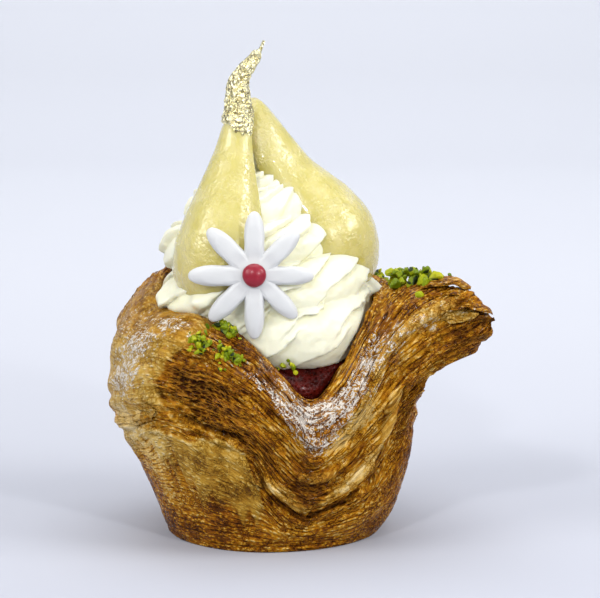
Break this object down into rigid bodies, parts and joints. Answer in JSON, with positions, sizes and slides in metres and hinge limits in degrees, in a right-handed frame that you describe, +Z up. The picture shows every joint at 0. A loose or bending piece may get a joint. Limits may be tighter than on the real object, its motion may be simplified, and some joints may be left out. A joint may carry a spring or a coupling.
{
  "type": "fruit tartlet",
  "caption": "Pear and cream tartlet: laminated pastry cup with a folded-out corner, jam, piped cream, baby pear halves, gilded stem, sugar daisy and pistachio crumbs.",
  "frame": {"origin": "centre of the flat base, on the surface that the tartlet stands on", "axes": "+Z up, -Y to the front where the rim dips, +X to the side of the folded-out corner"},
  "size_m": [0.0926, 0.0754, 0.1186],
  "materials": {
    "pastry": "baked laminated dough, egg-washed on the rim, dusted with icing sugar",
    "jam": "dark glossy berry jam",
    "cream": "satin piped cream",
    "pear": "wet glazed poached pear",
    "gold_leaf": "crumpled gold leaf",
    "white_sugar": "smooth matt sugar paste",
    "red_sugar": "smooth coloured sugar"
  },
  "bodies": {
    "root": {"pastry_shell": "pastry", "jam_filling": "jam", "cream_rosette": "cream", "pear_half_left": "pear", "pear_half_right": "pear", "gilded_stem": "gold_leaf", "daisy_petals": "white_sugar", "daisy_centre": "red_sugar"}
  },
  "joints": []
}
